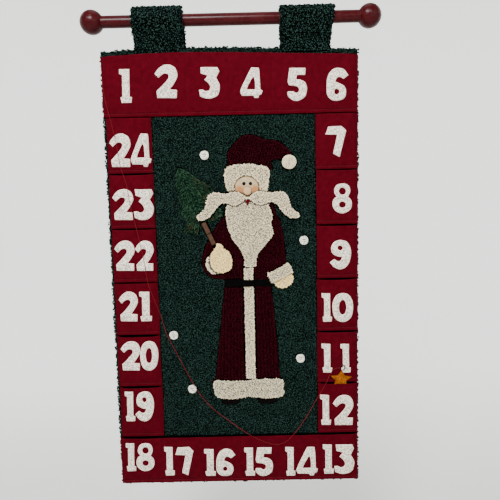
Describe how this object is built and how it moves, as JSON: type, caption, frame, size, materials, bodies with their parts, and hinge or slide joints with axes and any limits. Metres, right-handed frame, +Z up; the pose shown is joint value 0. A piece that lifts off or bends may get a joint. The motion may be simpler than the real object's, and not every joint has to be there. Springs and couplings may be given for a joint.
{
  "type": "fabric advent calendar",
  "caption": "Hanging fabric advent calendar on a wooden rod, with pockets round its edge, a bearded figure in the middle and a star marker on a thread.",
  "frame": {"origin": "the middle of the rod's axis, where a hook carries it", "axes": "+Z up, +X along the rod to the viewer's right, and the pockets face -Y"},
  "size_m": [0.474, 0.044, 0.7882],
  "materials": {
    "red_wood": "wine-red gloss paint over turned wood",
    "green_boucle": "matte, nubby boucle",
    "green_cotton": "matte plain weave",
    "red_felt": "matte wool felt with topstitched hems",
    "robe_cloth": "ribbed, matte",
    "cream_fur": "short curly pile",
    "mitten_fleece": "short brushed fleece",
    "face_felt": "smooth brushed felt",
    "white_felt": "matte felt",
    "black_bead": "polished bead",
    "black_felt": "matte felt",
    "boot_felt": "matte felt",
    "fir_cloth": "brushed and flecked",
    "trunk_felt": "matte felt",
    "mouth_felt": "matte felt",
    "star_wood": "painted, satin",
    "loop_cord": "twisted cord",
    "red_thread": "twisted cotton thread"
  },
  "bodies": {
    "rod": {"dowel": "red_wood", "finial_left": "red_wood", "finial_right": "red_wood"},
    "tabs": {"tab_left": "green_boucle", "tab_right": "green_boucle"},
    "panel": {"backing_panel": "green_boucle", "lining": "green_cotton", "top_pocket_strip": "red_felt", "bottom_pocket_strip": "red_felt", "pocket_07": "red_felt", "pocket_08": "red_felt", "pocket_09": "red_felt", "pocket_10": "red_felt", "pocket_11": "red_felt", "pocket_12": "red_felt", "pocket_19": "red_felt", "pocket_20": "red_felt", "pocket_21": "red_felt", "pocket_22": "red_felt", "pocket_23": "red_felt", "pocket_24": "red_felt", "cap": "robe_cloth", "pompom": "cream_fur", "cap_brim": "cream_fur", "face": "face_felt", "eye_left": "black_bead", "eye_right": "black_bead", "nose": "face_felt", "beard": "cream_fur", "moustache": "cream_fur", "mouth": "mouth_felt", "robe": "robe_cloth", "hem_band": "cream_fur", "front_band": "cream_fur", "belt": "black_felt", "boot_left": "boot_felt", "boot_right": "boot_felt", "cuff_left": "cream_fur", "mitten_left": "mitten_fleece", "cuff_right": "cream_fur", "mitten_right": "mitten_fleece", "tree_trunk": "trunk_felt", "fir_tree": "fir_cloth", "snow_dot_1": "white_felt", "snow_dot_2": "white_felt", "snow_dot_3": "white_felt", "snow_dot_4": "white_felt", "snow_dot_5": "white_felt", "marker_thread": "red_thread"},
    "star": {"star_marker": "star_wood", "star_loop": "loop_cord"}
  },
  "joints": [
    {"name": "tabs_slide", "type": "slide", "parent": "rod", "child": "tabs", "axis": [1, 0, 0], "range_m": [-0.05, 0.0445]},
    {"name": "panel_swing", "type": "hinge", "parent": "tabs", "child": "panel", "pos_m": [-0.0035, 0, 0], "axis": [1, 0, 0], "range_deg": [-90, 90]},
    {"name": "star_lift", "type": "slide", "parent": "panel", "child": "star", "axis": [0, -0.1444, 0.9895], "range_m": [0, 0.089]}
  ]
}
